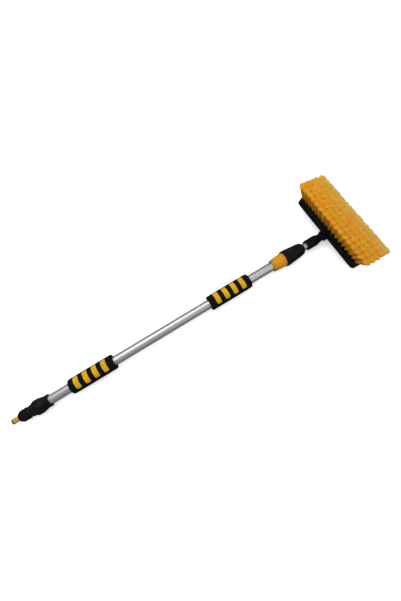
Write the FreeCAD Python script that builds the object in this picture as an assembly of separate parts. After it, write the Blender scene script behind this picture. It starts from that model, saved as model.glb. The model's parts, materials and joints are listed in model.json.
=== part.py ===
"""Water-fed telescopic window washing brush, one solid or group of solids per sub-part.

Frame: X runs along the pole from the hose inlet's mouth (X = 0, on the axis) to the brush head,
Z is up and Y runs along the brush block. The whole object is mirror-symmetric about Y = 0.
All sizes are in millimetres.
"""
import FreeCAD, Part
import math
import os

V = FreeCAD.Vector
X_AXIS = V(1, 0, 0)
ORIGIN = V(0, 0, 0)

# ---- driving dimensions ---------------------------------------------------------------------
# tubes
OUTER_R = 14.0
OUTER_WALL = 1.4
INNER_R = 11.0
INNER_WALL = 1.3
OUTER_START = 88.0
OUTER_END = 905.0
INNER_START = 134.0
INNER_END = 1002.0
FIT = 0.05              # radial running clearance of turning and sliding fits

# hose nipple and shut-off valve
NIPPLE_BORE_R = 4.5
NIPPLE_BORE_END = 20.0
NIPPLE_LAND_R = 8.2
NIPPLE_FLANGE_R = 9.0
NIPPLE_THREAD_R = 7.5
NIPPLE_THREAD_END = 30.0
COLLAR_START = 25.6
COLLAR_END = 50.4
COLLAR_R = 17.0
BARREL_R = 12.4
NECK_R = 14.3
STEP_START = 59.4
STEP_R = 17.8
CAP_START = 70.8
SPOOL_BORE_R = 8.0
SPOOL_START = 30.4
SPOOL_LENGTH = 23.6
SPOOL_TRAVEL = 6.2
PIN_R = 1.5
PIN_X = 41.5
VALVE_TURN = 90.0

# end cap
BULB_R = 22.0
BULB_END = 101.1
CAP_RING_R = 18.5
CAP_END = 116.6

# grips
GRIP_R = 23.0
LOWER_GRIP = (182.0, 321.7)
UPPER_GRIP = (644.6, 785.8)
INSERT_WIDTH = 15.5
INSERT_PITCH = 29.0
INSERT_HALF_ANGLE = 53.0
INSERT_DEPTH = 2.5
GRIP_ROUND = 5.0
GRIP_EDGE = 2.0
INSERTS_PER_SIDE = 4

# twist lock
LOCK_START = 869.4
LOCK_SPLIT = 912.8
LOCK_R_TAIL = 19.2
LOCK_R_LIP = 21.5
NUT_R = 25.3
NUT_TAPER_END = 978.5
NUT_TAPER_R = 18.8
NUT_END = 985.5
SPIGOT_R = 18.0
SPIGOT_END = 948.0
COLLET_START = 952.0
COLLET_END = 980.0

# coupling and neck
COUPLING_START = 996.7
COUPLING_STRAIGHT_END = 1034.4
COUPLING_END = 1050.8
COUPLING_R = 16.0
COUPLING_TIP_R = 11.75
ADAPTER_THREAD_R = 12.0
WASHER_START = 1024.0
WASHER_END = 1026.5
NECK_TUBE_R = 9.5
NECK_FLANGE_END = 1031.0
WATER_R = 6.0
SOCKET_R = 16.5
SOCKET_FLARE_END = 1058.0
SOCKET_END = 1098.0
SPIGOT_HOLE_R = 9.0

# brush head: local x across the block, y along it, z along the bristles
HEAD_X = 1092.4          # where the pole's axis meets the middle of the block's back face
HEAD_TILT = 15.0         # bristles lean this far forward of straight up
BLOCK_LENGTH = 274.0
BLOCK_WIDTH = 68.0
BLOCK_CORNER_R = 12.0
COVER_HEIGHT = 9.0
COVER_FLOOR = 5.0
GASKET_HEIGHT = 1.0
PLATE_HEIGHT = 10.0
BLOCK_HEIGHT = COVER_HEIGHT + GASKET_HEIGHT + PLATE_HEIGHT
EDGE_R = 1.5
ROWS = 5
ROW_PITCH = 13.0
TUFTS = 17
TUFT_PITCH = 15.6
TUFT_HOLE_R = 3.0
TUFT_DEPTH = 6.0
SCREW_END = 13.5
SCREW_PITCH = 76.0
BRISTLE_LENGTH = 50.0
SPLAY_LENGTH = 20.0      # how far the tips lean out past each end of the block
SPLAY_WIDTH = 22.0       # how far the tips lean out past each side of the block
TIP_GAP = 0.6            # between neighbouring rows at their tips
JET_R = 1.2
JETS = 8


# ---- helpers --------------------------------------------------------------------------------
def revolved(profile):
    """Solid of revolution about the pole's axis from (x, radius) points."""
    points = [V(x, 0, r) for x, r in profile]
    face = Part.Face(Part.makePolygon(points + points[:1]))
    return face.revolve(ORIGIN, X_AXIS, 360)


def rod(x0, x1, radius):
    return Part.makeCylinder(radius, x1 - x0, V(x0, 0, 0), X_AXIS)


def sleeve(x0, x1, outer_r, inner_r):
    return rod(x0, x1, outer_r).cut(rod(x0 - 1, x1 + 1, inner_r))


def o_ring(x, inner_r, outer_r):
    """O-ring about the pole's axis."""
    section_r = (outer_r - inner_r) / 2
    return Part.makeTorus(inner_r + section_r, section_r, V(x, 0, 0), X_AXIS)


def around(shape, count, start=0.0):
    """Copies of a shape spread evenly about the pole's axis."""
    copies = []
    for i in range(count):
        turned = shape.copy()
        turned.rotate(ORIGIN, X_AXIS, start + 360.0 * i / count)
        copies.append(turned)
    return copies


def ribs(x0, x1, r0, r1, count, width, height):
    """Lengthwise ribs on a cone or cylinder from radius r0 to r1, rooted 1 mm inside it."""
    outline = [V(x0, 0, r0 - 1), V(x1, 0, r1 - 1), V(x1 - 1, 0, r1 + height), V(x0 + 1, 0, r0 + height)]
    rib = Part.Face(Part.makePolygon(outline + outline[:1])).extrude(V(0, width, 0))
    rib.translate(V(0, -width / 2, 0))
    return around(rib, count)


def save(node, shape):
    """One STEP per node; a group of separate solids is kept as a compound."""
    shape = shape.removeSplitter() if shape.ShapeType == "Solid" else shape
    if not shape.isValid():
        raise ValueError(node + " is not valid")
    shape.exportStep("parts/" + node + ".step")
    print("%-20s solids %3d  volume %9.0f" % (node, len(shape.Solids), shape.Volume))


def single(shape):
    """The one solid in a shape; stops the build if it has come apart."""
    if len(shape.Solids) != 1:
        raise ValueError("expected one solid, found %d" % len(shape.Solids))
    return shape.Solids[0]


def to_head(shape):
    """Moves a shape from the head's local frame to its place on the pole."""
    placed = shape.copy()
    placed.rotate(ORIGIN, V(0, 1, 0), HEAD_TILT)
    placed.translate(V(HEAD_X, 0, 0))
    return placed


# ---- hose end -------------------------------------------------------------------------------
def hose_nipple():
    outside = [
        (0, NIPPLE_BORE_R), (0, NIPPLE_LAND_R - 1.6), (0.5, NIPPLE_LAND_R - 0.7), (1.6, NIPPLE_LAND_R),
        (4.0, NIPPLE_LAND_R), (4.0, 6.4), (6.8, 6.4), (6.8, NIPPLE_LAND_R), (13.0, NIPPLE_LAND_R),
        (14.2, 6.9), (18.0, 6.9), (19.4, NIPPLE_FLANGE_R), (24.0, NIPPLE_FLANGE_R),
        (24.0, NIPPLE_THREAD_R), (NIPPLE_THREAD_END, NIPPLE_THREAD_R),
        (NIPPLE_THREAD_END, NIPPLE_BORE_R + 0.5), (NIPPLE_BORE_END, NIPPLE_BORE_R + 0.5),
        (NIPPLE_BORE_END, NIPPLE_BORE_R),
    ]
    return single(revolved(outside))


def nipple_seal():
    return o_ring(5.4, 6.4, NIPPLE_LAND_R + 0.15)


def valve_body():
    """Barrel under the collar, neck, knurled step and the spigot that enters the end cap."""
    outside = rod(24.0, STEP_START, BARREL_R)
    neck = rod(COLLAR_END + 0.3, STEP_START, NECK_R)
    step = revolved([
        (STEP_START, 0), (STEP_START, STEP_R - 1), (STEP_START + 1, STEP_R), (CAP_START - 1.6, STEP_R),
        (CAP_START - 0.6, STEP_R - 1), (CAP_START - 0.6, 0),
    ])
    spigot = rod(STEP_START, 84.0, 12.0)
    body = outside.fuse([neck, step, spigot])
    body = body.fuse(ribs(STEP_START + 0.5, CAP_START - 1.1, STEP_R - 0.6, STEP_R - 0.6, 24, 1.6, 0.8))
    seat = rod(23.0, NIPPLE_THREAD_END, NIPPLE_THREAD_R)
    chamber = rod(NIPPLE_THREAD_END, 72.0, SPOOL_BORE_R)
    outlet = rod(72.0, 90.0, WATER_R)
    slot = Part.makeBox(SPOOL_TRAVEL + 2 * PIN_R + 0.4, 2 * PIN_R + 0.2, 4 * BARREL_R)
    slot.translate(V(PIN_X - PIN_R - 0.2, -PIN_R - 0.1, -2 * BARREL_R))
    return single(body.cut(seat.fuse([chamber, outlet])).cut(slot))


def valve_collar():
    """Ribbed collar with two helical grooves inside, each a quarter turn long."""
    shell = revolved([
        (COLLAR_START, BARREL_R + FIT), (COLLAR_START, COLLAR_R - 3.5), (COLLAR_START + 4.5, COLLAR_R - 1),
        (COLLAR_END - 4, COLLAR_R - 1), (COLLAR_END - 3.4, COLLAR_R + 0.3), (COLLAR_END - 0.5, COLLAR_R + 0.3),
        (COLLAR_END, COLLAR_R - 0.4), (COLLAR_END, BARREL_R + FIT),
    ])
    shell = shell.fuse(ribs(COLLAR_START + 4.5, COLLAR_END - 3.6, COLLAR_R - 1, COLLAR_R - 1, 20, 2.2, 1.0))
    groove_r = PIN_R + 0.45
    cutters = []
    steps = 9
    for i in range(steps + 1):
        share = i / steps
        x = PIN_X + SPOOL_TRAVEL * share
        reach = BARREL_R + 2.0
        cutter = Part.makeCylinder(groove_r, 2 * reach, V(x, 0, -reach), V(0, 0, 1))
        cutter.rotate(ORIGIN, X_AXIS, -VALVE_TURN * share)
        cutters.append(cutter)
    return single(shell.cut(cutters[0].multiFuse(cutters[1:])))


def valve_spool():
    outer_r = SPOOL_BORE_R - FIT
    end = SPOOL_START + SPOOL_LENGTH
    spool = revolved([
        (SPOOL_START, 5.0), (SPOOL_START, outer_r), (SPOOL_START + 1, outer_r),
        (SPOOL_START + 1, 6.5), (SPOOL_START + 3, 6.5), (SPOOL_START + 3, outer_r),
        (end - 3, outer_r), (end - 3, 6.5), (end - 1, 6.5), (end - 1, outer_r),
        (end, outer_r), (end, 5.0),
    ])
    hole = Part.makeCylinder(PIN_R, 2 * SPOOL_BORE_R, V(PIN_X, 0, -SPOOL_BORE_R), V(0, 0, 1))
    return single(spool.cut(hole))


def spool_seals():
    end = SPOOL_START + SPOOL_LENGTH
    places = (SPOOL_START + 2, end - 2)
    return Part.makeCompound([o_ring(x, 6.5, SPOOL_BORE_R - FIT) for x in places])


def cam_pin():
    reach = BARREL_R + 1.6
    return Part.makeCylinder(PIN_R, 2 * reach, V(PIN_X, 0, -reach), V(0, 0, 1))


def valve_plug():
    """Plug on the axis, held by three spokes in a ring pressed into the body's chamber."""
    plug = revolved([
        (59.4, 0), (59.4, 4.0), (61.0, 5.6), (62.4, 5.6), (64.0, 4.4), (69.0, 2.6), (69.0, 0),
    ])
    ring = sleeve(65.0, 71.0, SPOOL_BORE_R, SPOOL_BORE_R - 1.4)
    spoke = Part.makeBox(4.0, 1.4, SPOOL_BORE_R - 2.2, V(65.0, -0.7, 1.2))
    return single(plug.fuse([ring] + around(spoke, 3)))


def valve_gasket():
    return sleeve(CAP_START - 0.6, CAP_START, STEP_R - 1.5, 12.0)


def end_cap():
    """Bulb-shaped cap: threaded bore for the valve at one end, socket for the tube at the other."""
    outside = [
        (CAP_START, 12.0), (CAP_START, BULB_R - 1.6), (CAP_START + 1.4, BULB_R - 0.3), (77.0, BULB_R),
        (86.0, BULB_R), (91.0, BULB_R - 0.8), (BULB_END, CAP_RING_R + 0.7), (BULB_END, CAP_RING_R),
        (CAP_END - 1.2, CAP_RING_R), (CAP_END, CAP_RING_R - 1.2), (CAP_END, OUTER_R),
        (OUTER_START, OUTER_R), (OUTER_START, 12.0),
    ]
    cap = revolved(outside)
    cap = cap.fuse(ribs(CAP_START + 2.5, 90.0, BULB_R - 0.4, BULB_R - 0.4, 28, 2.0, 0.9))
    groove = sleeve(OUTER_START + 2.0, OUTER_START + 4.6, OUTER_R + 1.2, OUTER_R - 0.5)
    return single(cap.cut(groove))


def end_cap_seal():
    return o_ring(OUTER_START + 3.3, OUTER_R, OUTER_R + 1.2)


# ---- pole -----------------------------------------------------------------------------------
def outer_tube():
    return sleeve(OUTER_START, OUTER_END, OUTER_R, OUTER_R - OUTER_WALL)


def insert_places(span):
    """Middle of each insert along a grip."""
    middle = (span[0] + span[1]) / 2
    first = middle - INSERT_PITCH * (INSERTS_PER_SIDE - 1) / 2
    return [first + INSERT_PITCH * i for i in range(INSERTS_PER_SIDE)]


def insert_block(x, depth_extra, grow):
    """One curved panel, or the pocket for it when grown."""
    half = INSERT_WIDTH / 2 + grow
    angle = 2 * (INSERT_HALF_ANGLE + grow)
    outer = GRIP_R + depth_extra
    profile = Part.Face(Part.makePolygon([
        V(x - half, 0, GRIP_R - INSERT_DEPTH), V(x + half, 0, GRIP_R - INSERT_DEPTH),
        V(x + half, 0, outer), V(x - half, 0, outer), V(x - half, 0, GRIP_R - INSERT_DEPTH),
    ]))
    panel = profile.revolve(ORIGIN, X_AXIS, angle)
    panel.rotate(ORIGIN, X_AXIS, -angle / 2)
    return panel


def grip_inserts(span):
    panels = []
    for x in insert_places(span):
        panel = insert_block(x, 0.0, 0.0)
        panels += [panel, panel.rotated(ORIGIN, X_AXIS, 180)]
    return Part.makeCompound(panels)


def rims_at(shape, x):
    """Round edges that lie at one place along the pole."""
    return [e for e in shape.Edges if len(e.Vertexes) == 1 and abs(e.CenterOfMass.x - x) < 0.01]


def grip(span, rounded_end):
    """Foam sleeve with pockets; one end has the larger rounding."""
    x0, x1 = span
    large_x, small_x = (x0, x1) if rounded_end == "inlet" else (x1, x0)
    body = rod(x0, x1, GRIP_R)
    body = body.makeFillet(GRIP_ROUND, rims_at(body, large_x))
    body = body.makeFillet(GRIP_EDGE, rims_at(body, small_x))
    body = body.cut(rod(x0 - 1, x1 + 1, OUTER_R))
    pockets = []
    for x in insert_places(span):
        pocket = insert_block(x, 1.0, 0.0)
        pockets += [pocket, pocket.rotated(ORIGIN, X_AXIS, 180)]
    return single(body.cut(Part.makeCompound(pockets)))


def lock_body():
    """Yellow ribbed body glued on the tube's end, with the threaded spigot for the nut."""
    outside = revolved([
        (LOCK_START, OUTER_R), (LOCK_START, 17.2), (LOCK_START + 1.2, LOCK_R_TAIL - 0.4),
        (LOCK_START + 3.5, LOCK_R_TAIL), (LOCK_START + 5.5, LOCK_R_TAIL - 0.9),
        (LOCK_SPLIT - 2.5, LOCK_R_LIP - 0.6), (LOCK_SPLIT - 0.4, LOCK_R_LIP),
        (LOCK_SPLIT - 0.4, SPIGOT_R), (SPIGOT_END - 1, SPIGOT_R), (SPIGOT_END, SPIGOT_R - 1),
        (SPIGOT_END, 14.0), (OUTER_END + 0.5, 14.0), (OUTER_END + 0.5, INNER_R + 0.6),
        (OUTER_END, INNER_R + 0.6), (OUTER_END, OUTER_R),
    ])
    bars = ribs(LOCK_START + 7.5, LOCK_SPLIT - 4.0, LOCK_R_TAIL - 0.7, LOCK_R_LIP - 0.9, 18, 3.0, 1.3)
    return single(outside.fuse(bars))


def guide_sleeve():
    return sleeve(OUTER_END + 0.5, SPIGOT_END, 14.0, INNER_R + FIT)


def lock_collet():
    """Split cone with six fingers' worth of slits; it grips the inner tube when squeezed."""
    cone = revolved([
        (COLLET_START, INNER_R + FIT), (COLLET_START, 17.0), (COLLET_START + 4, 17.0),
        (COLLET_END, 13.2), (COLLET_END, INNER_R + FIT),
    ])
    slit = Part.makeBox(COLLET_END - COLLET_START - 5, 1.2, 20, V(COLLET_START + 6, -0.6, 5))
    return single(cone.cut(Part.makeCompound(around(slit, 6))))


def lock_nut():
    nut = revolved([
        (LOCK_SPLIT, SPIGOT_R + FIT), (LOCK_SPLIT, NUT_R - 1.2), (LOCK_SPLIT + 1.2, NUT_R),
        (LOCK_SPLIT + 8, NUT_R), (LOCK_SPLIT + 9.5, NUT_R - 0.9), (LOCK_SPLIT + 30, NUT_R - 1.6),
        (NUT_TAPER_END, NUT_TAPER_R), (NUT_END, 12.6), (NUT_END, INNER_R + 0.4),
        (COLLET_END + 0.5, INNER_R + 0.4), (COLLET_END + 0.5, 13.5), (COLLET_START + 4, 17.3),
        (COLLET_START - 2, 17.3),
        (SPIGOT_END + 1, SPIGOT_R + FIT),
    ])
    bars = ribs(LOCK_SPLIT + 11, NUT_TAPER_END - 4, NUT_R - 1.2, NUT_TAPER_R + 0.6, 14, 3.4, 0.9)
    return single(nut.fuse(bars))


def inner_tube():
    return sleeve(INNER_START, INNER_END, INNER_R, INNER_R - INNER_WALL)


def piston():
    """Guide bush with two seal grooves; its spigot stands in the inner tube's end."""
    outer_r = OUTER_R - OUTER_WALL - FIT
    head_start = INNER_START - 16.0
    return single(revolved([
        (head_start, WATER_R), (head_start, outer_r - 1), (head_start + 1, outer_r),
        (head_start + 3, outer_r), (head_start + 3, 10.2), (head_start + 5.6, 10.2),
        (head_start + 5.6, outer_r), (head_start + 9, outer_r), (head_start + 9, 10.2),
        (head_start + 11.6, 10.2), (head_start + 11.6, outer_r), (INNER_START - 0.2, outer_r),
        (INNER_START - 0.2, INNER_R - INNER_WALL - FIT), (INNER_START + 22, INNER_R - INNER_WALL - FIT),
        (INNER_START + 22, WATER_R),
    ]))


def piston_seals():
    head_start = INNER_START - 16.0
    outer_r = OUTER_R - OUTER_WALL - FIT
    return Part.makeCompound([o_ring(head_start + x, 10.2, outer_r) for x in (4.3, 10.3)])


# ---- coupling and neck ----------------------------------------------------------------------
def tip_adapter():
    """Plug pressed into the inner tube, with the outside thread for the coupling nut."""
    return single(revolved([
        (INNER_END - 34, WATER_R), (INNER_END - 34, INNER_R - INNER_WALL), (INNER_END, INNER_R - INNER_WALL),
        (INNER_END, INNER_R + 0.6), (INNER_END + 3, INNER_R + 0.6), (INNER_END + 3, ADAPTER_THREAD_R),
        (WASHER_START, ADAPTER_THREAD_R), (WASHER_START, WATER_R),
    ]))


def coupling_washer():
    return sleeve(WASHER_START, WASHER_END, ADAPTER_THREAD_R - 0.6, WATER_R + 0.5)


def coupling_nut():
    nut = revolved([
        (COUPLING_START, 12.6), (COUPLING_START, COUPLING_R - 1.4), (COUPLING_START + 0.8, COUPLING_R - 0.6),
        (COUPLING_STRAIGHT_END, COUPLING_R - 0.6), (COUPLING_STRAIGHT_END + 2.5, COUPLING_R - 1.6),
        (COUPLING_END, COUPLING_TIP_R), (COUPLING_END, NECK_TUBE_R + FIT),
        (NECK_FLANGE_END + 0.1, NECK_TUBE_R + FIT), (NECK_FLANGE_END + 0.1, ADAPTER_THREAD_R + FIT),
        (COUPLING_START + 4, ADAPTER_THREAD_R + FIT),
    ])
    bars = ribs(COUPLING_START + 2.5, COUPLING_STRAIGHT_END - 0.5, COUPLING_R - 0.6, COUPLING_R - 0.6, 30, 1.7, 0.6)
    return single(nut.fuse(bars))


def neck_elbow():
    """Neck along the pole's axis that swells into a socket on the block's back.

    The water runs along the axis, then below the block's back, then up through a spigot.
    """
    tube = rod(WASHER_END, SOCKET_FLARE_END, NECK_TUBE_R)
    flange = rod(WASHER_END, NECK_FLANGE_END, ADAPTER_THREAD_R)
    socket = revolved([
        (COUPLING_END + 0.4, 0), (COUPLING_END + 0.4, COUPLING_TIP_R), (SOCKET_FLARE_END - 2.5, 13.0),
        (SOCKET_FLARE_END, SOCKET_R - 0.8), (SOCKET_FLARE_END + 1.5, SOCKET_R),
        (SOCKET_END, SOCKET_R), (SOCKET_END, 0),
    ])
    dome = Part.makeSphere(SOCKET_R, V(SOCKET_END, 0, 0))
    above = Part.makeBox(120, 120, 80, V(-60, -60, 0))
    solid = tube.fuse([flange, socket, dome]).cut(to_head(above))
    spigot = Part.makeCylinder(SPIGOT_HOLE_R, COVER_FLOOR, V(0, 0, -1))
    groove = Part.makeCylinder(SPIGOT_HOLE_R + 1, 2.0, V(0, 0, 1.6)).cut(
        Part.makeCylinder(SPIGOT_HOLE_R - 1.4, 2.0, V(0, 0, 1.6)))
    solid = solid.fuse(to_head(spigot)).cut(to_head(groove))
    bend_x = SOCKET_FLARE_END + 4
    depth = (HEAD_X - bend_x) * math.sin(math.radians(HEAD_TILT))
    run = (HEAD_X - bend_x) * math.cos(math.radians(HEAD_TILT))
    along_back = Part.makeCylinder(WATER_R, run, V(-run, 0, -depth), X_AXIS)
    upward = Part.makeCylinder(WATER_R - 0.5, depth + COVER_FLOOR + 1, V(0, 0, -depth))
    corner = Part.makeSphere(WATER_R, V(0, 0, -depth))
    first_corner = Part.makeSphere(WATER_R, V(bend_x, 0, 0))
    water = rod(WASHER_END - 1, bend_x, WATER_R).fuse(
        [first_corner, to_head(along_back), to_head(corner), to_head(upward)])
    return single(solid.cut(water))


def elbow_seal():
    ring = Part.makeTorus(SPIGOT_HOLE_R - 0.7, 0.7, V(0, 0, 2.6), V(0, 0, 1))
    return to_head(ring)


# ---- brush head -----------------------------------------------------------------------------
def block_slab(z0, z1, inset=0.0):
    """Rounded rectangle of the block's outline, between two heights."""
    length = BLOCK_LENGTH - 2 * inset
    width = BLOCK_WIDTH - 2 * inset
    slab = Part.makeBox(width, length, z1 - z0, V(-width / 2, -length / 2, z0))
    upright = [e for e in slab.Edges if abs(e.tangentAt(e.FirstParameter).z) > 0.99]
    return slab.makeFillet(max(BLOCK_CORNER_R - inset, 2.0), upright)


def rim_rounded(slab, z):
    """Rounds the edges of a block slab that lie at one height."""
    rim = [e for e in slab.Edges if abs(e.BoundBox.ZMin - z) < 1e-3 and abs(e.BoundBox.ZMax - z) < 1e-3]
    return slab.makeFillet(EDGE_R, rim)


def screw_places():
    return [(side * (BLOCK_WIDTH / 2 - 7), i * SCREW_PITCH)
            for side in (-1, 1) for i in (-1.5, -0.5, 0.5, 1.5)]


def head_cover():
    cover = rim_rounded(block_slab(0, COVER_HEIGHT), 0)
    channel = block_slab(COVER_FLOOR, COVER_HEIGHT + 1, inset=14.0)
    inlet = Part.makeCylinder(SPIGOT_HOLE_R, COVER_FLOOR + 2, V(0, 0, -1))
    cover = cover.cut(channel.fuse(inlet))
    for x, y in screw_places():
        cover = cover.cut(Part.makeCylinder(3.9, 3.6, V(x, y, -0.5)))
        cover = cover.cut(Part.makeCylinder(2.1, 12.0, V(x, y, -1)))
    return single(to_head(cover))


def head_gasket():
    top = COVER_HEIGHT + GASKET_HEIGHT
    ring = block_slab(COVER_HEIGHT, top, inset=1.5).cut(block_slab(COVER_HEIGHT - 1, top + 1, inset=14.0))
    for x, y in screw_places():
        ring = ring.cut(Part.makeCylinder(2.1, 4.0, V(x, y, COVER_HEIGHT - 1)))
    return single(to_head(ring))


def tuft_places(row):
    """Root of each tuft of a row on the plate's face."""
    x = (row - (ROWS - 1) / 2) * ROW_PITCH
    return [(x, (i - (TUFTS - 1) / 2) * TUFT_PITCH) for i in range(TUFTS)]


def tuft_plate():
    base = COVER_HEIGHT + GASKET_HEIGHT
    plate = rim_rounded(block_slab(base, BLOCK_HEIGHT), BLOCK_HEIGHT)
    holes = []
    for row in range(ROWS):
        for x, y in tuft_places(row):
            holes.append(Part.makeCylinder(TUFT_HOLE_R, TUFT_DEPTH + 1, V(x, y, BLOCK_HEIGHT - TUFT_DEPTH)))
    for side in (-0.5, 0.5):
        for i in range(JETS):
            y = (i - (JETS - 1) / 2) * 2 * TUFT_PITCH
            jet = Part.makeCylinder(JET_R, PLATE_HEIGHT + 2, V(side * ROW_PITCH, y, base - 1))
            holes.append(jet)
    for x, y in screw_places():
        holes.append(Part.makeCylinder(1.7, SCREW_END + 0.3 - base, V(x, y, base)))
    return single(to_head(plate.cut(Part.makeCompound(holes))))


def head_screws():
    screws = []
    for x, y in screw_places():
        head = Part.makeCylinder(3.6, 2.4, V(x, y, 0.6))
        cross = Part.makeBox(4.0, 0.9, 1.2, V(x - 2.0, y - 0.45, 0.5))
        cross = cross.fuse(Part.makeBox(0.9, 4.0, 1.2, V(x - 0.45, y - 2.0, 0.5)))
        shank = Part.makeCylinder(1.7, SCREW_END - 3.0, V(x, y, 3.0))
        screws.append(to_head(head.fuse(shank).cut(cross)))
    return Part.makeCompound(screws)


def rectangle(x0, x1, y0, y1, z):
    corners = [V(x0, y0, z), V(x1, y0, z), V(x1, y1, z), V(x0, y1, z)]
    return Part.makePolygon(corners + corners[:1])


def bristle_row(row):
    """Envelope of one row of tufts: narrow at the roots, fanned out at the trimmed tips."""
    root_x = tuft_places(row)[0][0]
    root_half_length = (TUFTS - 1) / 2 * TUFT_PITCH + TUFT_HOLE_R
    tip_half_length = BLOCK_LENGTH / 2 + SPLAY_LENGTH
    tip_width = (BLOCK_WIDTH + 2 * SPLAY_WIDTH) / ROWS
    tip_x0 = -BLOCK_WIDTH / 2 - SPLAY_WIDTH + row * tip_width + TIP_GAP / 2
    tip_x1 = tip_x0 + tip_width - TIP_GAP
    foot = rectangle(root_x - TUFT_HOLE_R, root_x + TUFT_HOLE_R,
                     -root_half_length, root_half_length, BLOCK_HEIGHT)
    tips = rectangle(tip_x0, tip_x1, -tip_half_length, tip_half_length, BLOCK_HEIGHT + BRISTLE_LENGTH)
    return to_head(single(Part.makeLoft([foot, tips], True, True)))


# ---- write the parts ------------------------------------------------------------------------
def main():
    os.makedirs("parts", exist_ok=True)
    makers = [
        hose_nipple, nipple_seal, valve_body, valve_collar, valve_spool, spool_seals, cam_pin,
        valve_plug, valve_gasket, end_cap, end_cap_seal, outer_tube, lock_body, guide_sleeve,
        lock_collet, lock_nut, inner_tube, piston, piston_seals, tip_adapter, coupling_washer,
        coupling_nut, neck_elbow, elbow_seal, head_cover, head_gasket, tuft_plate, head_screws,
    ]
    for maker in makers:
        save(maker.__name__, maker())
    save("lower_grip", grip(LOWER_GRIP, "inlet"))
    save("upper_grip", grip(UPPER_GRIP, "head"))
    save("lower_grip_inserts", grip_inserts(LOWER_GRIP))
    save("upper_grip_inserts", grip_inserts(UPPER_GRIP))
    for row in range(ROWS):
        save("bristle_row_%d" % (row + 1), bristle_row(row))


main()
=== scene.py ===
"""Looks of the water-fed telescopic washing brush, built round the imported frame.

All places are metres in the row frame: X along the pole from the hose inlet to the head, Y along
the brush block, Z up. Places come from the frame's nodes and mounts.
"""

import json
import math

import bpy
import numpy as np
from mathutils import Matrix, Vector


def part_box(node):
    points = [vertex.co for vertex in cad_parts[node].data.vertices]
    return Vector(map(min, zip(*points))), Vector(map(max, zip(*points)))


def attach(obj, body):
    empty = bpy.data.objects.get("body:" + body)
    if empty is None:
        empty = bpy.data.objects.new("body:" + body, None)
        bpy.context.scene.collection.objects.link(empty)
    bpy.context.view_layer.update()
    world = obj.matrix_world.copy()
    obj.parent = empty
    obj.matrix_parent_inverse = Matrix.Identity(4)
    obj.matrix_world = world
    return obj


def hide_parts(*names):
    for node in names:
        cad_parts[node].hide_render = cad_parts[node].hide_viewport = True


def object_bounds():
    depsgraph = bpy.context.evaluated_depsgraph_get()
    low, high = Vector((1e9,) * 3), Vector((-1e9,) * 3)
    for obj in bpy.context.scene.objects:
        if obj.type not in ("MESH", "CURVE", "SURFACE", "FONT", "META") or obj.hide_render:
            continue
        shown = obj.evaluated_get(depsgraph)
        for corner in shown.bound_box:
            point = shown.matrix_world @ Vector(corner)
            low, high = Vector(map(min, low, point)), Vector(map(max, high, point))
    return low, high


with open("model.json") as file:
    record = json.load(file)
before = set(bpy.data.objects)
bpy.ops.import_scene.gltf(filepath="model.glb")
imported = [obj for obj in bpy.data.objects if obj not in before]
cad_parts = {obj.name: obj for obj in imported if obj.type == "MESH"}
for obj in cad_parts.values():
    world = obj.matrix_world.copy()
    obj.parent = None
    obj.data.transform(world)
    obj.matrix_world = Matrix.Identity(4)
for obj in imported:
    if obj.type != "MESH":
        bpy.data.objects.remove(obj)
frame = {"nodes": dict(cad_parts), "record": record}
cad_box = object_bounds()
NODES = frame["nodes"]
MOUNTS = {mount["name"]: mount for mount in frame["record"]["mounts"]}
MM = 0.001

# ---- camera and stage -----------------------------------------------------------------------
CAMERA_PLACE = Vector((0.543, -0.194, 0.846))
CAMERA_FORWARD = Vector((0.0959, 0.2476, -0.9641))
CAMERA_RIGHT = Vector((0.8540, -0.5181, -0.0481))
CAMERA_LENS_MM = 17.43
CAMERA_SENSOR_MM = 36.0
CAMERA_NEAR_LIMIT = 0.01
FLOOR_SIZE = 12.0
FLOOR_GAP = 0.5 * MM
SURROUND_LIGHT = 0.6        # strength of the surround in reflections
SURROUND_SEEN = 1.0         # and to the camera
WHITE = (1.0, 1.0, 1.0, 1.0)
AREA_LIGHTS = (             # name, place, point aimed at, size, watts
    ("key", (0.3, 1.1, 1.7), (0.6, 0, 0), (1.8, 1.2), 28),
    ("fill", (1.5, -1.2, 1.5), (0.7, 0, 0), (1.4, 1.0), 8),
    ("rim", (0.6, 0.25, 2.4), (0.6, 0, 0), (2.6, 0.5), 12),
)


def add_camera():
    """Camera at its place, squared up from the forward and right directions."""
    data = bpy.data.cameras.new("camera")
    data.lens = CAMERA_LENS_MM
    data.sensor_width = CAMERA_SENSOR_MM
    data.sensor_fit = "AUTO"
    data.clip_start = CAMERA_NEAR_LIMIT
    camera = bpy.data.objects.new("camera", data)
    bpy.context.collection.objects.link(camera)
    back = -CAMERA_FORWARD.normalized()
    right = (CAMERA_RIGHT - CAMERA_RIGHT.dot(back) * back).normalized()
    up = back.cross(right)
    turn = Matrix((right, up, back)).transposed().to_4x4()
    camera.matrix_world = Matrix.Translation(CAMERA_PLACE) @ turn
    bpy.context.scene.camera = camera


def add_area_light(name, place, aim, size, power):
    """White rectangular lamp at place, turned to face aim."""
    data = bpy.data.lights.new(name, "AREA")
    data.shape = "RECTANGLE"
    data.size, data.size_y = size
    data.energy = power
    lamp = bpy.data.objects.new(name, data)
    bpy.context.collection.objects.link(lamp)
    lamp.location = place
    lamp.rotation_euler = (Vector(aim) - Vector(place)).to_track_quat("-Z", "Y").to_euler()


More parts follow.
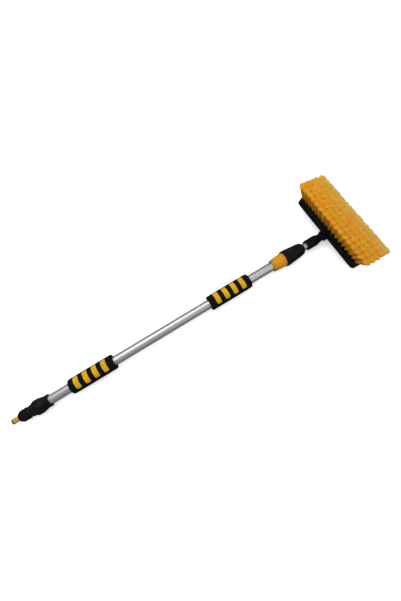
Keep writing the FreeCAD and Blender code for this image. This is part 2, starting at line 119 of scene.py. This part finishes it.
def add_stage():
    """White floor under the object, soft overhead light and a bright plain surround."""
    low, high = cad_box
    middle_x = (low[0] + high[0]) / 2
    bpy.ops.mesh.primitive_plane_add(size=FLOOR_SIZE, location=(middle_x, 0, low[2] - FLOOR_GAP))
    floor = bpy.context.object
    floor.name = "floor"
    floor.data.materials.append(floor_material())
    for lamp in AREA_LIGHTS:
        add_area_light(*lamp)
    world = bpy.data.worlds.new("surround")
    bpy.context.scene.world = world
    world.use_nodes = True
    background = world.node_tree.nodes["Background"]
    background.inputs["Color"].default_value = WHITE
    seen = world.node_tree.nodes.new("ShaderNodeLightPath")
    strength = world.node_tree.nodes.new("ShaderNodeMapRange")
    strength.inputs["To Min"].default_value = SURROUND_LIGHT
    strength.inputs["To Max"].default_value = SURROUND_SEEN
    world.node_tree.links.new(seen.outputs["Is Camera Ray"], strength.inputs["Value"])
    world.node_tree.links.new(strength.outputs["Result"], background.inputs["Strength"])
    bpy.context.scene.view_settings.view_transform = "Standard"


# ---- material helpers -----------------------------------------------------------------------
NOISE_ROUGHNESS = 0.55
PLASTIC_DRIFT_SCALE = 35.0
PLASTIC_GRAIN_SCALE = 2200.0
PLASTIC_GRAIN_STRENGTH = 0.35
PLASTIC_GRAIN_DEPTH = 0.00005


class Shader:
    """A Principled material being built up from procedural nodes."""

    def __init__(self, name, roughness, metallic=0.0, **constants):
        self.material = bpy.data.materials.new(name)
        self.material.use_nodes = True
        self.tree = self.material.node_tree
        self.shader = self.tree.nodes["Principled BSDF"]
        self.shader.inputs["Roughness"].default_value = roughness
        self.shader.inputs["Metallic"].default_value = metallic
        for socket, value in constants.items():
            self.shader.inputs[socket.replace("_", " ")].default_value = value
        self.place = self.node("ShaderNodeTexCoord").outputs["Object"]

    def node(self, kind, **values):
        made = self.tree.nodes.new(kind)
        for key, value in values.items():
            setattr(made, key, value)
        return made

    def link(self, source, target):
        self.tree.links.new(source, target)

    def stretched(self, scale):
        """Object coordinates scaled per axis."""
        mapping = self.node("ShaderNodeMapping")
        mapping.inputs["Scale"].default_value = scale
        self.link(self.place, mapping.inputs["Vector"])
        return mapping.outputs["Vector"]

    def noise(self, scale, detail=3.0, stretch=(1, 1, 1)):
        texture = self.node("ShaderNodeTexNoise")
        texture.inputs["Scale"].default_value = scale
        texture.inputs["Detail"].default_value = detail
        texture.inputs["Roughness"].default_value = NOISE_ROUGHNESS
        self.link(self.stretched(stretch), texture.inputs["Vector"])
        return texture.outputs["Fac"]

    def grains(self, scale):
        """Distance to the middle of the nearest cell."""
        texture = self.node("ShaderNodeTexVoronoi")
        texture.inputs["Scale"].default_value = scale
        self.link(self.place, texture.inputs["Vector"])
        return texture.outputs["Distance"]

    def ramp(self, source, stops):
        """Colour blended between stops, each (position, colour)."""
        ramp = self.node("ShaderNodeValToRGB")
        elements = ramp.color_ramp.elements
        while len(elements) < len(stops):
            elements.new(0.5)
        for element, (position, colour) in zip(elements, stops):
            element.position = position
            element.color = (*colour, 1.0)
        self.link(source, ramp.inputs["Fac"])
        return ramp.outputs["Color"]

    def grey(self, source, low, high, start=0.35, end=0.65):
        """A value from low to high as the source goes from start to end."""
        spread = self.node("ShaderNodeMapRange")
        spread.inputs["From Min"].default_value = start
        spread.inputs["From Max"].default_value = end
        spread.inputs["To Min"].default_value = low
        spread.inputs["To Max"].default_value = high
        self.link(source, spread.inputs["Value"])
        return spread.outputs["Result"]

    def times(self, first, second):
        product = self.node("ShaderNodeMath", operation="MULTIPLY")
        self.link(first, product.inputs[0])
        self.link(second, product.inputs[1])
        return product.outputs["Value"]

    def mix(self, factor, first, second):
        """The first colour at factor 0 and the second at 1; each is a colour or a socket."""
        mixer = self.node("ShaderNodeMix", data_type="RGBA")
        self.link(factor, mixer.inputs["Factor"])
        for name, value in (("A", first), ("B", second)):
            socket = [s for s in mixer.inputs if s.name == name and s.type == "RGBA"][0]
            if isinstance(value, tuple):
                socket.default_value = (*value, 1.0)
            else:
                self.link(value, socket)
        return [s for s in mixer.outputs if s.type == "RGBA"][0]

    def height_over_cone(self, x0, r0, x1, r1):
        """Distance outside a cone about the pole's axis that runs from radius r0 at x0 to r1 at x1."""
        split = self.node("ShaderNodeSeparateXYZ")
        self.link(self.place, split.inputs["Vector"])
        cone = self.grey(split.outputs["X"], r0, r1, x0, x1)
        radius = self.node("ShaderNodeVectorMath", operation="LENGTH")
        self.link(self.stretched((0, 1, 1)), radius.inputs[0])
        height = self.node("ShaderNodeMath", operation="SUBTRACT")
        self.link(radius.outputs["Value"], height.inputs[0])
        self.link(cone, height.inputs[1])
        return height.outputs["Value"]

    def colour(self, source):
        self.link(source, self.shader.inputs["Base Color"])

    def rough(self, source):
        self.link(source, self.shader.inputs["Roughness"])

    def bump(self, *layers):
        """Each layer is (height source, strength, distance in metres)."""
        normal = None
        for height, strength, distance in layers:
            bump = self.node("ShaderNodeBump")
            bump.inputs["Strength"].default_value = strength
            bump.inputs["Distance"].default_value = distance
            self.link(height, bump.inputs["Height"])
            if normal:
                self.link(normal, bump.inputs["Normal"])
            normal = bump.outputs["Normal"]
        self.link(normal, self.shader.inputs["Normal"])


# ---- materials ------------------------------------------------------------------------------
def floor_material():
    """White paper to the camera, but dim to reflections, so that the metal keeps dark edges."""
    shader = Shader("floor_white", 0.8)
    seen = shader.node("ShaderNodeLightPath").outputs["Is Camera Ray"]
    shader.colour(shader.mix(seen, (0.22, 0.22, 0.23), (0.92, 0.92, 0.92)))
    shader.shader.inputs["Emission Color"].default_value = WHITE
    shader.link(shader.grey(seen, 0.0, 0.45, 0, 1), shader.shader.inputs["Emission Strength"])
    return shader.material


def aluminium_tube():
    """Drawn and anodised aluminium: fine lines along the tube, faint scuffs."""
    shader = Shader("drawn_aluminium", 0.34, metallic=1.0, Anisotropic=0.3)
    lines = shader.noise(900.0, 2.0, stretch=(0.012, 1, 1))
    cloud = shader.noise(14.0, 4.0)
    scuffs = shader.grey(shader.noise(420.0, 2.0, stretch=(0.25, 1, 1)), 0.0, 1.0, 0.66, 0.72)
    base = shader.ramp(lines, [(0.3, (0.33, 0.33, 0.34)), (0.7, (0.44, 0.44, 0.45))])
    base = shader.mix(shader.grey(cloud, 0.0, 0.35), base, (0.37, 0.37, 0.39))
    base = shader.mix(shader.grey(scuffs, 0.0, 0.25, 0, 1), base, (0.60, 0.60, 0.60))
    shader.colour(base)
    shader.rough(shader.grey(lines, 0.38, 0.52, 0.3, 0.7))
    shader.bump((lines, 0.12, 0.00006), (scuffs, 0.1, 0.00005))
    return shader.material


def brass():
    """Turned brass with a slight tarnish."""
    shader = Shader("golden_brass", 0.3, metallic=0.9)
    turned = shader.noise(2500.0, 1.0, stretch=(1, 0.05, 0.05))
    tarnish = shader.noise(160.0, 5.0)
    shader.colour(shader.ramp(tarnish, [(0.3, (0.62, 0.33, 0.08)), (0.6, (0.80, 0.47, 0.13))]))
    shader.rough(shader.grey(tarnish, 0.24, 0.42))
    shader.bump((turned, 0.15, 0.00005))
    return shader.material


def moulded_plastic(name, dark, light, roughness, shine=0.5):
    """Spark-eroded plastic: fine even grain, slow colour drift, worn patches a little shinier."""
    shader = Shader(name, roughness, Specular_IOR_Level=shine)
    fine = shader.noise(PLASTIC_GRAIN_SCALE, 2.0)
    slow = shader.noise(PLASTIC_DRIFT_SCALE, 4.0)
    shader.colour(shader.ramp(slow, [(0.35, dark), (0.7, light)]))
    shader.rough(shader.grey(slow, roughness - 0.08, roughness + 0.1))
    shader.bump((fine, PLASTIC_GRAIN_STRENGTH, PLASTIC_GRAIN_DEPTH))
    return shader.material


LOCK_RIBS_AFTER_NECK = 7.5 * MM
LOCK_RIBS_BEFORE_LIP = 4.0 * MM
LOCK_GROOVE_AT_NECK = 18.4 * MM     # radius of the grooves' floor
LOCK_GROOVE_AT_LIP = 20.6 * MM
# painted shade: the grooves' colour is darkened fully up to the first height above their floor and not
# at all from the second
GROOVE_SHADE_FULL = 0.3 * MM                # height above the grooves' floor
GROOVE_SHADE_GONE = 1.1 * MM


def lock_plastic():
    """Amber plastic with painted shade darkening the grooves between the ribs."""
    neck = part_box("lock_body")[0][0] + LOCK_RIBS_AFTER_NECK
    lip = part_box("lock_nut")[0][0] - LOCK_RIBS_BEFORE_LIP
    shader = Shader("yellow_plastic", 0.4, Specular_IOR_Level=0.2)
    slow = shader.noise(PLASTIC_DRIFT_SCALE, 4.0)
    base = shader.ramp(slow, [(0.35, (0.60, 0.29, 0.007)), (0.7, (0.66, 0.34, 0.012))])
    height = shader.height_over_cone(neck, LOCK_GROOVE_AT_NECK, lip, LOCK_GROOVE_AT_LIP)
    # painted shade: darker amber in the grooves between the ribs, fading out up the ribs' sides
    groove_shade = shader.grey(height, 0.75, 0.0, GROOVE_SHADE_FULL, GROOVE_SHADE_GONE)
    shader.colour(shader.mix(groove_shade, base, (0.36, 0.13, 0.003)))
    shader.rough(shader.grey(shader.noise(120.0), 0.34, 0.5))
    grain = shader.noise(PLASTIC_GRAIN_SCALE, 2.0)
    shader.bump((grain, PLASTIC_GRAIN_STRENGTH, PLASTIC_GRAIN_DEPTH))
    return shader.material


def rubber():
    """Dusty black rubber of the seals."""
    shader = Shader("seal_rubber", 0.6)
    dust = shader.noise(300.0, 4.0)
    shader.colour(shader.ramp(dust, [(0.4, (0.012, 0.012, 0.012)), (0.8, (0.035, 0.034, 0.033))]))
    shader.bump((shader.noise(3000.0), 0.2, 0.00004))
    return shader.material


def foam(name, dark, light, sheen):
    """Closed-cell foam: tiny pits all over with painted shade in them, soft sheen, slightly mottled."""
    shader = Shader(name, 0.85, Sheen_Weight=sheen, Sheen_Roughness=0.6, Specular_IOR_Level=0.06)
    cells = shader.grains(1500.0)
    mottle = shader.noise(90.0, 5.0)
    pits = shader.grey(cells, 0.0, 1.0, 0.1, 0.6)
    base = shader.ramp(mottle, [(0.35, dark), (0.7, light)])
    # painted shade: the pits are darkened towards a darker copy of the foam's colour
    pit_shade_colour = tuple(channel * 0.55 for channel in dark)
    shader.colour(shader.mix(shader.grey(pits, 0.35, 0.0, 0, 1), base, pit_shade_colour))
    shader.rough(shader.grey(mottle, 0.78, 0.92))
    shader.bump((pits, 0.4, 0.00012), (shader.noise(350.0), 0.25, 0.0002))
    return shader.material


def brushed_steel():
    """Steel with fine brush lines, for the screws."""
    shader = Shader("screw_steel", 0.35, metallic=1.0)
    lines = shader.noise(1500.0, 2.0, stretch=(0.1, 1, 1))
    shader.colour(shader.ramp(lines, [(0.3, (0.45, 0.45, 0.46)), (0.7, (0.62, 0.62, 0.62))]))
    shader.rough(shader.grey(lines, 0.28, 0.45))
    shader.bump((lines, 0.2, 0.00004))
    return shader.material


def bristle_fibre():
    """Flagged soft fibre: orange-yellow, deep in the mass and paler at the tips; painted shade darkens
    the roots, most on the inner rows, and painted light pales the far rows.
    """
    shader = Shader("bristle_fibre", 0.6, Specular_IOR_Level=0.2)
    data = shader.node("ShaderNodeAttribute", attribute_name="fibre")
    split = shader.node("ShaderNodeSeparateColor")
    shader.link(data.outputs["Color"], split.inputs["Color"])
    along, tone, across = split.outputs["Green"], split.outputs["Red"], split.outputs["Blue"]
    body = shader.ramp(tone, [(0.0, (0.64, 0.27, 0.007)), (0.5, (0.76, 0.36, 0.012)),
                              (1.0, (0.84, 0.47, 0.035))])
    pale = shader.ramp(tone, [(0.0, (0.70, 0.36, 0.015)), (1.0, (0.84, 0.50, 0.05))])
    cloud = shader.noise(26.0, 4.0)
    base = shader.mix(shader.grey(along, 0.0, 0.8, 0.8, 1.0), body, pale)
    base = shader.mix(shader.grey(cloud, 0.0, 0.55, 0.45, 0.65), base, (0.82, 0.29, 0.008))
    # painted light: the far rows are mixed towards a pale olive yellow, as grazing light brightens them
    base = shader.mix(shader.grey(across, 0.0, 0.9, 0.55, 1.0), base, (0.70, 0.50, 0.11))
    # painted shade: the roots are darkened towards a deep red-brown, less on the near row, whose tufts'
    # feet stand in the open
    root_shade = shader.grey(along, 0.9, 0.0, 0.05, 0.45)
    inner_shade_share = shader.grey(across, 0.35, 1.0, 0.16, 0.3)
    base = shader.mix(shader.times(root_shade, inner_shade_share), base, (0.30, 0.08, 0.02))
    shader.colour(base)
    shader.rough(shader.grey(tone, 0.45, 0.7, 0, 1))
    return shader.material


NEAR_BLACK = (0.002, 0.002, 0.003)


def dress_cad_nodes():
    """Gives every CAD node a finish; grips, panels and bristles are replaced, so theirs is not seen."""
    aluminium = aluminium_tube()
    black = moulded_plastic("black_plastic", NEAR_BLACK, (0.005, 0.005, 0.006), 0.40, shine=0.08)
    block = moulded_plastic("block_plastic", NEAR_BLACK, (0.005, 0.005, 0.007), 0.38, shine=0.10)
    inner = moulded_plastic("inner_plastic", (0.50, 0.50, 0.46), (0.62, 0.62, 0.58), 0.45)
    yellow = lock_plastic()
    seal, metal, steel = rubber(), brass(), brushed_steel()
    finishes = {
        "brass": metal, "tube_metal": aluminium, "rubber_seal": seal, "black_plastic": black,
        "collar_plastic": black, "inner_plastic": inner, "steel": steel, "yellow_plastic": yellow,
        "block_plastic": block, "grip_foam": seal, "insert_foam": seal, "bristle": seal,
    }
    for part in frame["record"]["subparts"]:
        node = NODES[part["node"]]
        for place in node.material_slots:
            place.material = finishes[part["material_slot"]]


# ---- foam grips -----------------------------------------------------------------------------
GRIP_RADIUS = 23.0 * MM
GRIP_CROWN = 0.35 * MM
PANEL_WIDTH = 15.5 * MM
PANEL_PITCH = 29.0 * MM
PANELS = 4
PANEL_HALF_ANGLE = math.radians(53)
PANEL_CORNER = 4.0 * MM
PANEL_GAP = 0.25 * MM               # between a panel and its pocket's wall
PANEL_BURIED = 0.2 * MM             # how far a panel's foot goes into the pocket's floor
PANEL_ROLL = 1.0 * MM               # radius of a panel's rolled edge
PANEL_ROLL_START = -0.75 * MM       # height of that edge's foot over the grip
PANEL_ROLL_STEPS = 6
PANEL_SPOKES = 64
GROOVE_DEPTH = 1.5 * MM
GROOVE_WALL_START = -0.1 * MM       # distances outside a panel's outline
GROOVE_WALL_END = 0.9 * MM
FOAM_CLEARANCE = 0.1 * MM           # between the foam and the tube
GRIP_END_STATIONS = 6
GRIP_BODY_STATIONS = 170
GRIP_SPOKES = 180
OUTER_END_ROUND = 5.0 * MM
INNER_END_ROUND = 2.0 * MM


def mesh_piece(name, points, faces, material):
    """Smooth-shaded object from points and faces."""
    mesh = bpy.data.meshes.new(name)
    mesh.from_pydata([tuple(p) for p in points], [], [tuple(f) for f in faces])
    mesh.validate()
    mesh.materials.append(material)
    mesh.shade_smooth()
    piece = bpy.data.objects.new(name, mesh)
    bpy.context.collection.objects.link(piece)
    return piece


def panel_distance(x, angle, centre_x, side):
    """Distance outside a panel's rounded outline, negative inside; side is +1 on top, -1 below."""
    across = math.atan2(math.sin(angle) * side, math.cos(angle) * side) * GRIP_RADIUS
    dx = abs(x - centre_x) - (PANEL_WIDTH / 2 - PANEL_CORNER)
    dy = abs(across) - (PANEL_HALF_ANGLE * GRIP_RADIUS - PANEL_CORNER)
    outside = math.hypot(max(dx, 0), max(dy, 0))
    return outside + min(max(dx, dy), 0) - PANEL_CORNER


def smooth_step(value, start, end):
    """Eases from 0 at start to 1 at end."""
    share = min(max((value - start) / (end - start), 0.0), 1.0)
    return share * share * (3 - 2 * share)


def on_grip(x, angle, radius):
    """Point on the grip; angle 0 is straight up."""
    return (x, radius * math.sin(angle), radius * math.cos(angle))


def panel_centres(x0, x1):
    """Middles of the panels, spread evenly about the grip's middle."""
    first = (x0 + x1) / 2 - PANEL_PITCH * (PANELS - 1) / 2
    return [first + i * PANEL_PITCH for i in range(PANELS)]


def foam_profile(x, x0, x1, round0, round1):
    """Radius of the foam at x, with rounded ends and a slight crown."""
    radius = GRIP_RADIUS - GRIP_CROWN + GRIP_CROWN * math.sin(math.pi * (x - x0) / (x1 - x0))
    for gap, corner in ((x - x0, round0), (x1 - x, round1)):
        if gap < corner:
            radius -= corner - math.sqrt(max(corner ** 2 - (corner - gap) ** 2, 0))
    return radius


def foam_stations(x0, x1, round0, round1):
    """Places along the grip: close together on the rounded ends, even between them."""
    turns = np.linspace(0, math.pi / 2, GRIP_END_STATIONS)
    lead = [x0 + round0 * (1 - math.cos(turn)) for turn in turns]
    tail = [x1 - round1 * (1 - math.cos(turn)) for turn in turns[::-1]]
    return lead + list(np.linspace(lead[-1], tail[0], GRIP_BODY_STATIONS))[1:-1] + tail


def add_grip(which, round0, round1, foam_material, panel_material):
    """Foam sleeve with pockets, and the panels that lie in them."""
    low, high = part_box(which)
    x0, x1 = low[0], high[0]
    tube_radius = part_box("outer_tube")[1][2]
    centres = panel_centres(x0, x1)
    stations = foam_stations(x0, x1, round0, round1)
    turns = GRIP_SPOKES
    points, faces = [], []
    for x in stations:
        for j in range(turns):
            angle = 2 * math.pi * j / turns
            radius = foam_profile(x, x0, x1, round0, round1)
            for centre in centres:
                if abs(x - centre) < PANEL_WIDTH:
                    gap = min(panel_distance(x, angle, centre, side) for side in (1, -1))
                    wall = smooth_step(gap, GROOVE_WALL_START, GROOVE_WALL_END)
                    radius -= GROOVE_DEPTH * (1 - wall)
            points.append(on_grip(x, angle, radius))
    for x in (x1, x0):
        bore = tube_radius + FOAM_CLEARANCE
        points += [on_grip(x, 2 * math.pi * j / turns, bore) for j in range(turns)]
    rings = len(stations) + 2
    for i in range(rings):
        for j in range(turns):
            a, b = i * turns + j, i * turns + (j + 1) % turns
            c, d = ((i + 1) % rings) * turns + (j + 1) % turns, ((i + 1) % rings) * turns + j
            faces.append((a, b, c, d))
    sleeve = mesh_piece(which + "_foam", points, faces, foam_material)
    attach(sleeve, "outer_pole")
    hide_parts(which)
    panels = add_panels(which, centres, panel_material)
    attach(panels, "outer_pole")
    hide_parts(which + "_inserts")


def add_panels(which, centres, material):
    """Soft panels with rounded corners and rolled edges, slightly proud of the foam."""
    points, faces = [], []
    spokes = PANEL_SPOKES
    levels = panel_levels()
    for centre in centres:
        for side in (1, -1):
            start = len(points)
            half_x = PANEL_WIDTH / 2 - PANEL_GAP
            half_s = PANEL_HALF_ANGLE * GRIP_RADIUS - PANEL_GAP
            outline = rounded_outline(half_x, half_s, PANEL_CORNER, spokes)
            for inset, height in levels:
                for px, ps in outline:
                    shrink_x = (half_x - inset) / half_x
                    shrink_s = (half_s - inset) / half_s
                    x = centre + px * shrink_x
                    angle = ps * shrink_s / GRIP_RADIUS + (0 if side > 0 else math.pi)
                    points.append(on_grip(x, angle, GRIP_RADIUS + height))
            count = len(levels)
            for i in range(count - 1):
                for j in range(spokes):
                    a = start + i * spokes + j
                    b = start + i * spokes + (j + 1) % spokes
                    faces.append((a, b, b + spokes, a + spokes))
            faces += cap_strip(start + (count - 1) * spokes, spokes, False)
            faces += cap_strip(start, spokes, True)
    return mesh_piece(which + "_panels", points, faces, material)


def panel_levels():
    """(inset, height above the grip) from the pocket's floor over the rolled edge to the top."""
    levels = [(0.0, -GROOVE_DEPTH - PANEL_BURIED), (0.0, PANEL_ROLL_START)]
    for k in range(1, PANEL_ROLL_STEPS + 1):
        turn = math.pi / 2 * k / PANEL_ROLL_STEPS
        rise = PANEL_ROLL * math.sin(turn)
        levels.append((PANEL_ROLL * (1 - math.cos(turn)), PANEL_ROLL_START + rise))
    return levels


def cap_strip(start, spokes, flip):
    """Closes a loop whose points mirror each other with strips across it."""
    faces = []
    for j in range(spokes // 2 - 1):
        quad = (start + j, start + j + 1, start + spokes - 2 - j, start + spokes - 1 - j)
        faces.append(quad[::-1] if flip else quad)
    return faces


def rounded_outline(half_x, half_s, corner, count):
    """Closed rounded rectangle, evenly spread, symmetric about the s axis."""
    straight_x = 2 * (half_x - corner)
    straight_s = 2 * (half_s - corner)
    quarter = math.pi / 2 * corner
    total = 2 * straight_x + 2 * straight_s + 4 * quarter
    points = []
    for i in range(count):
        run = (i + 0.5) * total / count
        points.append(walk_outline(run, straight_x, straight_s, quarter, corner))
    return points


def walk_outline(run, straight_x, straight_s, quarter, corner):
    """Point at a run along the outline, from the middle of the low-s side."""
    turning, straight = True, False
    legs = [(straight_x / 2, straight), (quarter, turning), (straight_s, straight),
            (quarter, turning), (straight_x, straight), (quarter, turning),
            (straight_s, straight), (quarter, turning), (straight_x / 2, straight)]
    x, s, heading = 0.0, -(straight_s / 2 + corner), 0.0
    for length, turns in legs:
        step = min(run, length)
        if not turns:
            x, s = x + step * math.cos(heading), s + step * math.sin(heading)
        else:
            angle = step / corner
            centre = (x - corner * math.sin(heading), s + corner * math.cos(heading))
            heading += angle
            x = centre[0] + corner * math.sin(heading)
            s = centre[1] - corner * math.cos(heading)
        run -= step
        if run <= 0:
            break
    return (x, s)


# ---- bristles -------------------------------------------------------------------------------
BRISTLE_LENGTH = 50.0 * MM
ROWS = 5
ROW_PITCH = 13.0 * MM
TUFTS = 17
TUFT_PITCH = 15.6 * MM
TIP_ROW_PITCH = 22.0 * MM
TIP_TUFT_PITCH = 18.3 * MM
ROOT_RADIUS = 2.7 * MM
TIP_RADIUS = 12.8 * MM
LEAN_POWER = 1.1                    # how late a tuft leans from its hole to its place at the tips
OPEN_POWER = 2.0                    # how early a tuft opens
# count, stations, start along the bristle, reach across the tuft, radius at the root and the tip
FIBRES = (130, 6, 0.0, 1.0, 0.50 * MM, 0.20 * MM)
FLAGS = (300, 4, 0.78, 1.15, 0.36 * MM, 0.16 * MM)      # the split ends
FIBRE_TAPER_START = 0.55
FIBRE_THICKNESS = (0.8, 1.2)
FIBRE_LENGTH_SCATTER = 0.8 * MM
EDGE_SHORTENING = 0.02
TIP_SCATTER = 0.4 * MM
CLUMPS = 6                          # bundles that a tuft's fibres gather into
CLUMP_SCATTER = 0.5
CLUMP_PULL = 0.22
CLUMP_POWER = 1.5
CRIMP_DEPTH = 0.5 * MM
CRIMP_WAVES = (1.5, 3.0)
CORE_STATIONS = (0.0, 0.12, 0.25, 0.38, 0.55, 0.75, 0.9, 0.94)
CORE_FILL = (0.5, 0.55, 0.62, 0.72, 0.82, 0.88, 0.88, 0.7)      # share of the tuft's width
CORE_TONE = 0.35
CORE_SIDES = 12
FIRST_SEED = 100


def head_frame():
    """Origin at the middle of the trimmed tips and the block's own axes."""
    face = MOUNTS["brush_face"]
    along_bristle = Vector(face["axis"]).normalized()
    along_block = Vector((0, 1, 0))
    across = along_block.cross(along_bristle)
    return Vector(face["pos_m"]), across, along_block, along_bristle


def tuft_spread(t):
    """How far a tuft has opened, 0 at the root and 1 at the tips."""
    return 1 - (1 - t) ** OPEN_POWER


def tuft_place(row, tuft, row_pitch, tuft_pitch):
    """Place of a tuft across and along the block, from the head's middle."""
    return np.array([(row - (ROWS - 1) / 2) * row_pitch, (tuft - (TUFTS - 1) / 2) * tuft_pitch])


def fibre_paths(rng, row, tuft, count, stations, t0, reach_out, radius0, radius1):
    """Centre lines (count, stations, 3) in the head's frame, radii and tones of one tuft's fibres."""
    t = np.linspace(t0, 1.0, stations)[None, :]
    root = tuft_place(row, tuft, ROW_PITCH, TUFT_PITCH)
    tip = tuft_place(row, tuft, TIP_ROW_PITCH, TIP_TUFT_PITCH) + rng.normal(0, TIP_SCATTER, 2)
    angle = rng.uniform(0, 2 * math.pi, count)
    reach = reach_out * np.sqrt(rng.uniform(0, 1, count))
    disc = np.stack([np.cos(angle), np.sin(angle)], 1) * reach[:, None]
    clumps = rng.normal(0, CLUMP_SCATTER, (CLUMPS, 2))
    nearest = np.argmin(((disc[:, None, :] - clumps[None]) ** 2).sum(2), 1)
    end_disc = disc * (1 - CLUMP_PULL) + clumps[nearest] * CLUMP_PULL
    centre = root[None, None, :] + (tip - root)[None, None, :] * (t ** LEAN_POWER)[..., None]
    spread = tuft_spread(t)[..., None]
    width = ROOT_RADIUS + (TIP_RADIUS - ROOT_RADIUS) * spread
    share = (t ** CLUMP_POWER)[..., None]
    lateral = (disc[:, None, :] * (1 - share) + end_disc[:, None, :] * share) * width
    phase = rng.uniform(0, 2 * math.pi, (count, 1, 2))
    waves = rng.uniform(*CRIMP_WAVES, (count, 1, 1))
    crimp = CRIMP_DEPTH * np.sin(2 * math.pi * waves * t[..., None] + phase) * t[..., None]
    flat = centre + lateral + crimp
    length = BRISTLE_LENGTH * (1 - EDGE_SHORTENING * reach ** 2)
    length = length + rng.normal(0, FIBRE_LENGTH_SCATTER, count)
    height = -BRISTLE_LENGTH + length[:, None] * t
    paths = np.concatenate([flat, height[..., None]], 2)
    thinned = np.clip((t - FIBRE_TAPER_START) / (1 - FIBRE_TAPER_START), 0, 1)
    taper = radius0 + (radius1 - radius0) * thinned
    radii = np.repeat(taper, count, 0) * rng.uniform(*FIBRE_THICKNESS, (count, 1))
    tone = rng.uniform(0, 1, count)
    return paths, radii, tone, np.repeat(t, count, 0)


def prisms(paths, radii, tone, t, rng, sides=3):
    """Closed thin prisms round centre lines: points, side faces, end faces and point colours.

    A colour's red is the fibre's tone and its green the share of the way along it.
    """
    count, stations = radii.shape
    corners = np.arange(sides)[None] * 2 * math.pi / sides
    turn = rng.uniform(0, 2 * math.pi, (count, 1)) + corners
    ring = np.stack([np.cos(turn), np.sin(turn), np.zeros_like(turn)], 2)
    points = paths[:, :, None, :] + ring[:, None, :, :] * radii[:, :, None, None]
    colours = np.zeros((count, stations, sides, 4))
    colours[..., 0] = tone[:, None, None]
    colours[..., 1] = t[:, :, None]
    colours[..., 3] = 1
    base = (np.arange(count) * stations * sides)[:, None, None]
    i = np.arange(stations - 1)[None, :, None] * sides
    j = np.arange(sides)[None, None, :]
    nxt = (j + 1) % sides
    ring0, ring1 = base + i, base + i + sides
    quads = np.stack([ring0 + j, ring0 + nxt, ring1 + nxt, ring1 + j], 3).reshape(-1, 4)
    first = base[:, 0, 0]
    tops = np.stack([first + (stations - 1) * sides + k for k in range(sides)], 1)
    feet = np.stack([first + sides - 1 - k for k in range(sides)], 1)
    return points.reshape(-1, 3), quads, np.concatenate([tops, feet]), colours.reshape(-1, 4)


def tuft_core(row, tuft):
    """Packed middle of a tuft, a cone that fills the gaps between fibres, as fibre_paths returns it."""
    t = np.array(CORE_STATIONS)
    root = tuft_place(row, tuft, ROW_PITCH, TUFT_PITCH)
    tip = tuft_place(row, tuft, TIP_ROW_PITCH, TIP_TUFT_PITCH)
    flat = root[None] + (tip - root)[None] * (t ** LEAN_POWER)[:, None]
    path = np.concatenate([flat, (-BRISTLE_LENGTH + BRISTLE_LENGTH * t)[:, None]], 1)
    width = ROOT_RADIUS + (TIP_RADIUS - ROOT_RADIUS) * tuft_spread(t)
    radii = width * np.array(CORE_FILL)
    return path[None], radii[None], np.array([CORE_TONE]), t[None]


def add_bristle_row(row, origin, axes, material):
    """One row of tufts as a single piece; a point's blue is its place across the head."""
    rng = np.random.default_rng(FIRST_SEED + row)
    points, sides, ends, colours = [], [], [], []
    offset = 0
    for tuft in range(TUFTS):
        batches = [fibre_paths(rng, row, tuft, *kind) for kind in (FIBRES, FLAGS)]
        solids = [prisms(*batch, rng) for batch in batches]
        solids.append(prisms(*tuft_core(row, tuft), rng, sides=CORE_SIDES))
        for corners, quads, caps, tints in solids:
            points.append(corners)
            sides.append(quads + offset)
            ends += (caps + offset).tolist()
            colours.append(tints)
            offset += len(corners)
    points = np.concatenate(points)
    colours = np.concatenate(colours)
    half_width = (ROWS - 1) / 2 * TIP_ROW_PITCH + TIP_RADIUS
    colours[:, 2] = np.clip((points[:, 0] / half_width + 1) / 2, 0, 1)
    world = np.array(origin)[None] + points @ np.array([list(axis) for axis in axes])
    faces = np.concatenate(sides).tolist() + ends
    name = "bristle_tufts_%d" % (row + 1)
    mesh = bpy.data.meshes.new(name)
    mesh.from_pydata(world.tolist(), [], faces)
    attribute = mesh.color_attributes.new("fibre", "FLOAT_COLOR", "POINT")
    attribute.data.foreach_set("color", colours.astype(np.float32).ravel())
    mesh.materials.append(material)
    mesh.shade_smooth()
    piece = bpy.data.objects.new(name, mesh)
    bpy.context.collection.objects.link(piece)
    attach(piece, "inner_pole")
    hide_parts("bristle_row_%d" % (row + 1))


def add_bristles():
    """All rows, in the head's own axes."""
    origin, across, along_block, along_bristle = head_frame()
    material = bristle_fibre()
    for row in range(ROWS):
        add_bristle_row(row, origin, (across, along_block, along_bristle), material)


# ---- build ----------------------------------------------------------------------------------
def main():
    add_camera()
    add_stage()
    dress_cad_nodes()
    black_foam = foam("grip_foam_black", (0.003, 0.0025, 0.003), (0.007, 0.006, 0.0065), 0.0)
    yellow_foam = foam("insert_foam_yellow", (0.50, 0.27, 0.008), (0.58, 0.34, 0.016), 0.1)
    add_grip("lower_grip", OUTER_END_ROUND, INNER_END_ROUND, black_foam, yellow_foam)
    add_grip("upper_grip", INNER_END_ROUND, OUTER_END_ROUND, black_foam, yellow_foam)
    add_bristles()


main()
